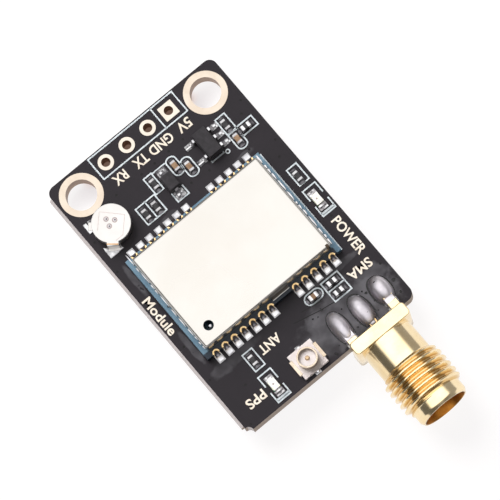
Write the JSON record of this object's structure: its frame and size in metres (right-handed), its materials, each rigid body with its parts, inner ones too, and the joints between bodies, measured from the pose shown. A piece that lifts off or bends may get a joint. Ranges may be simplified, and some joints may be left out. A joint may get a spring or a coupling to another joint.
{
  "type": "satellite positioning receiver board",
  "caption": "Small black receiver board with a shielded castellated module, coin backup cell, edge-mounted threaded antenna jack, coaxial socket, lamps and a header row.",
  "frame": {"origin": "midway between the two mounting holes, on the underside of the board", "axes": "+X along the header row, +Y from the antenna edge to the header edge, +Z out of the component side"},
  "size_m": [0.0204, 0.04, 0.0065],
  "materials": {
    "mask": "satin black solder mask on laminate",
    "plating": "pale gold plating",
    "tin": "bright tinned copper and solder",
    "module_blue": "blue laminate",
    "can": "matte tinned sheet",
    "chip_black": "moulded black epoxy",
    "ceramic": "fired ceramic",
    "cell": "bright stainless",
    "gasket": "moulded seal",
    "gold": "bright gold plate",
    "ptfe": "white fluoroplastic",
    "socket_plastic": "cream moulded plastic",
    "lamp_base": "pale laminate",
    "lens": "clear to milky resin",
    "resistor": "black glazed film on ceramic",
    "capacitor": "tan ceramic"
  },
  "bodies": {
    "root": {"board": "mask", "mounting_hole_plating": "plating", "header_hole_plating": "plating", "component_lands": "tin", "module_lands": "tin", "module_board": "module_blue", "module_castellations": "gold", "shield_can": "can", "receiver_chip": "chip_black", "oscillator": "ceramic", "clock_crystal": "ceramic", "input_filters": "ceramic", "amplifier_chip": "chip_black", "cell_case": "cell", "cell_gasket": "gasket", "cell_cap": "cell", "cell_top_strip": "cell", "cell_bottom_strip": "cell", "jack_body": "gold", "jack_insulator": "ptfe", "jack_contact": "gold", "socket_base": "socket_plastic", "socket_shell": "gold", "socket_pin": "gold", "power_led_base": "lamp_base", "power_led_lens": "lens", "pps_led_base": "lamp_base", "pps_led_lens": "lens", "led_terminals": "tin", "regulator_body": "chip_black", "regulator_leads": "tin", "diode_body": "chip_black", "diode_leads": "tin", "resistors": "resistor", "resistor_caps": "tin", "capacitors": "capacitor", "capacitor_caps": "tin"}
  },
  "joints": []
}
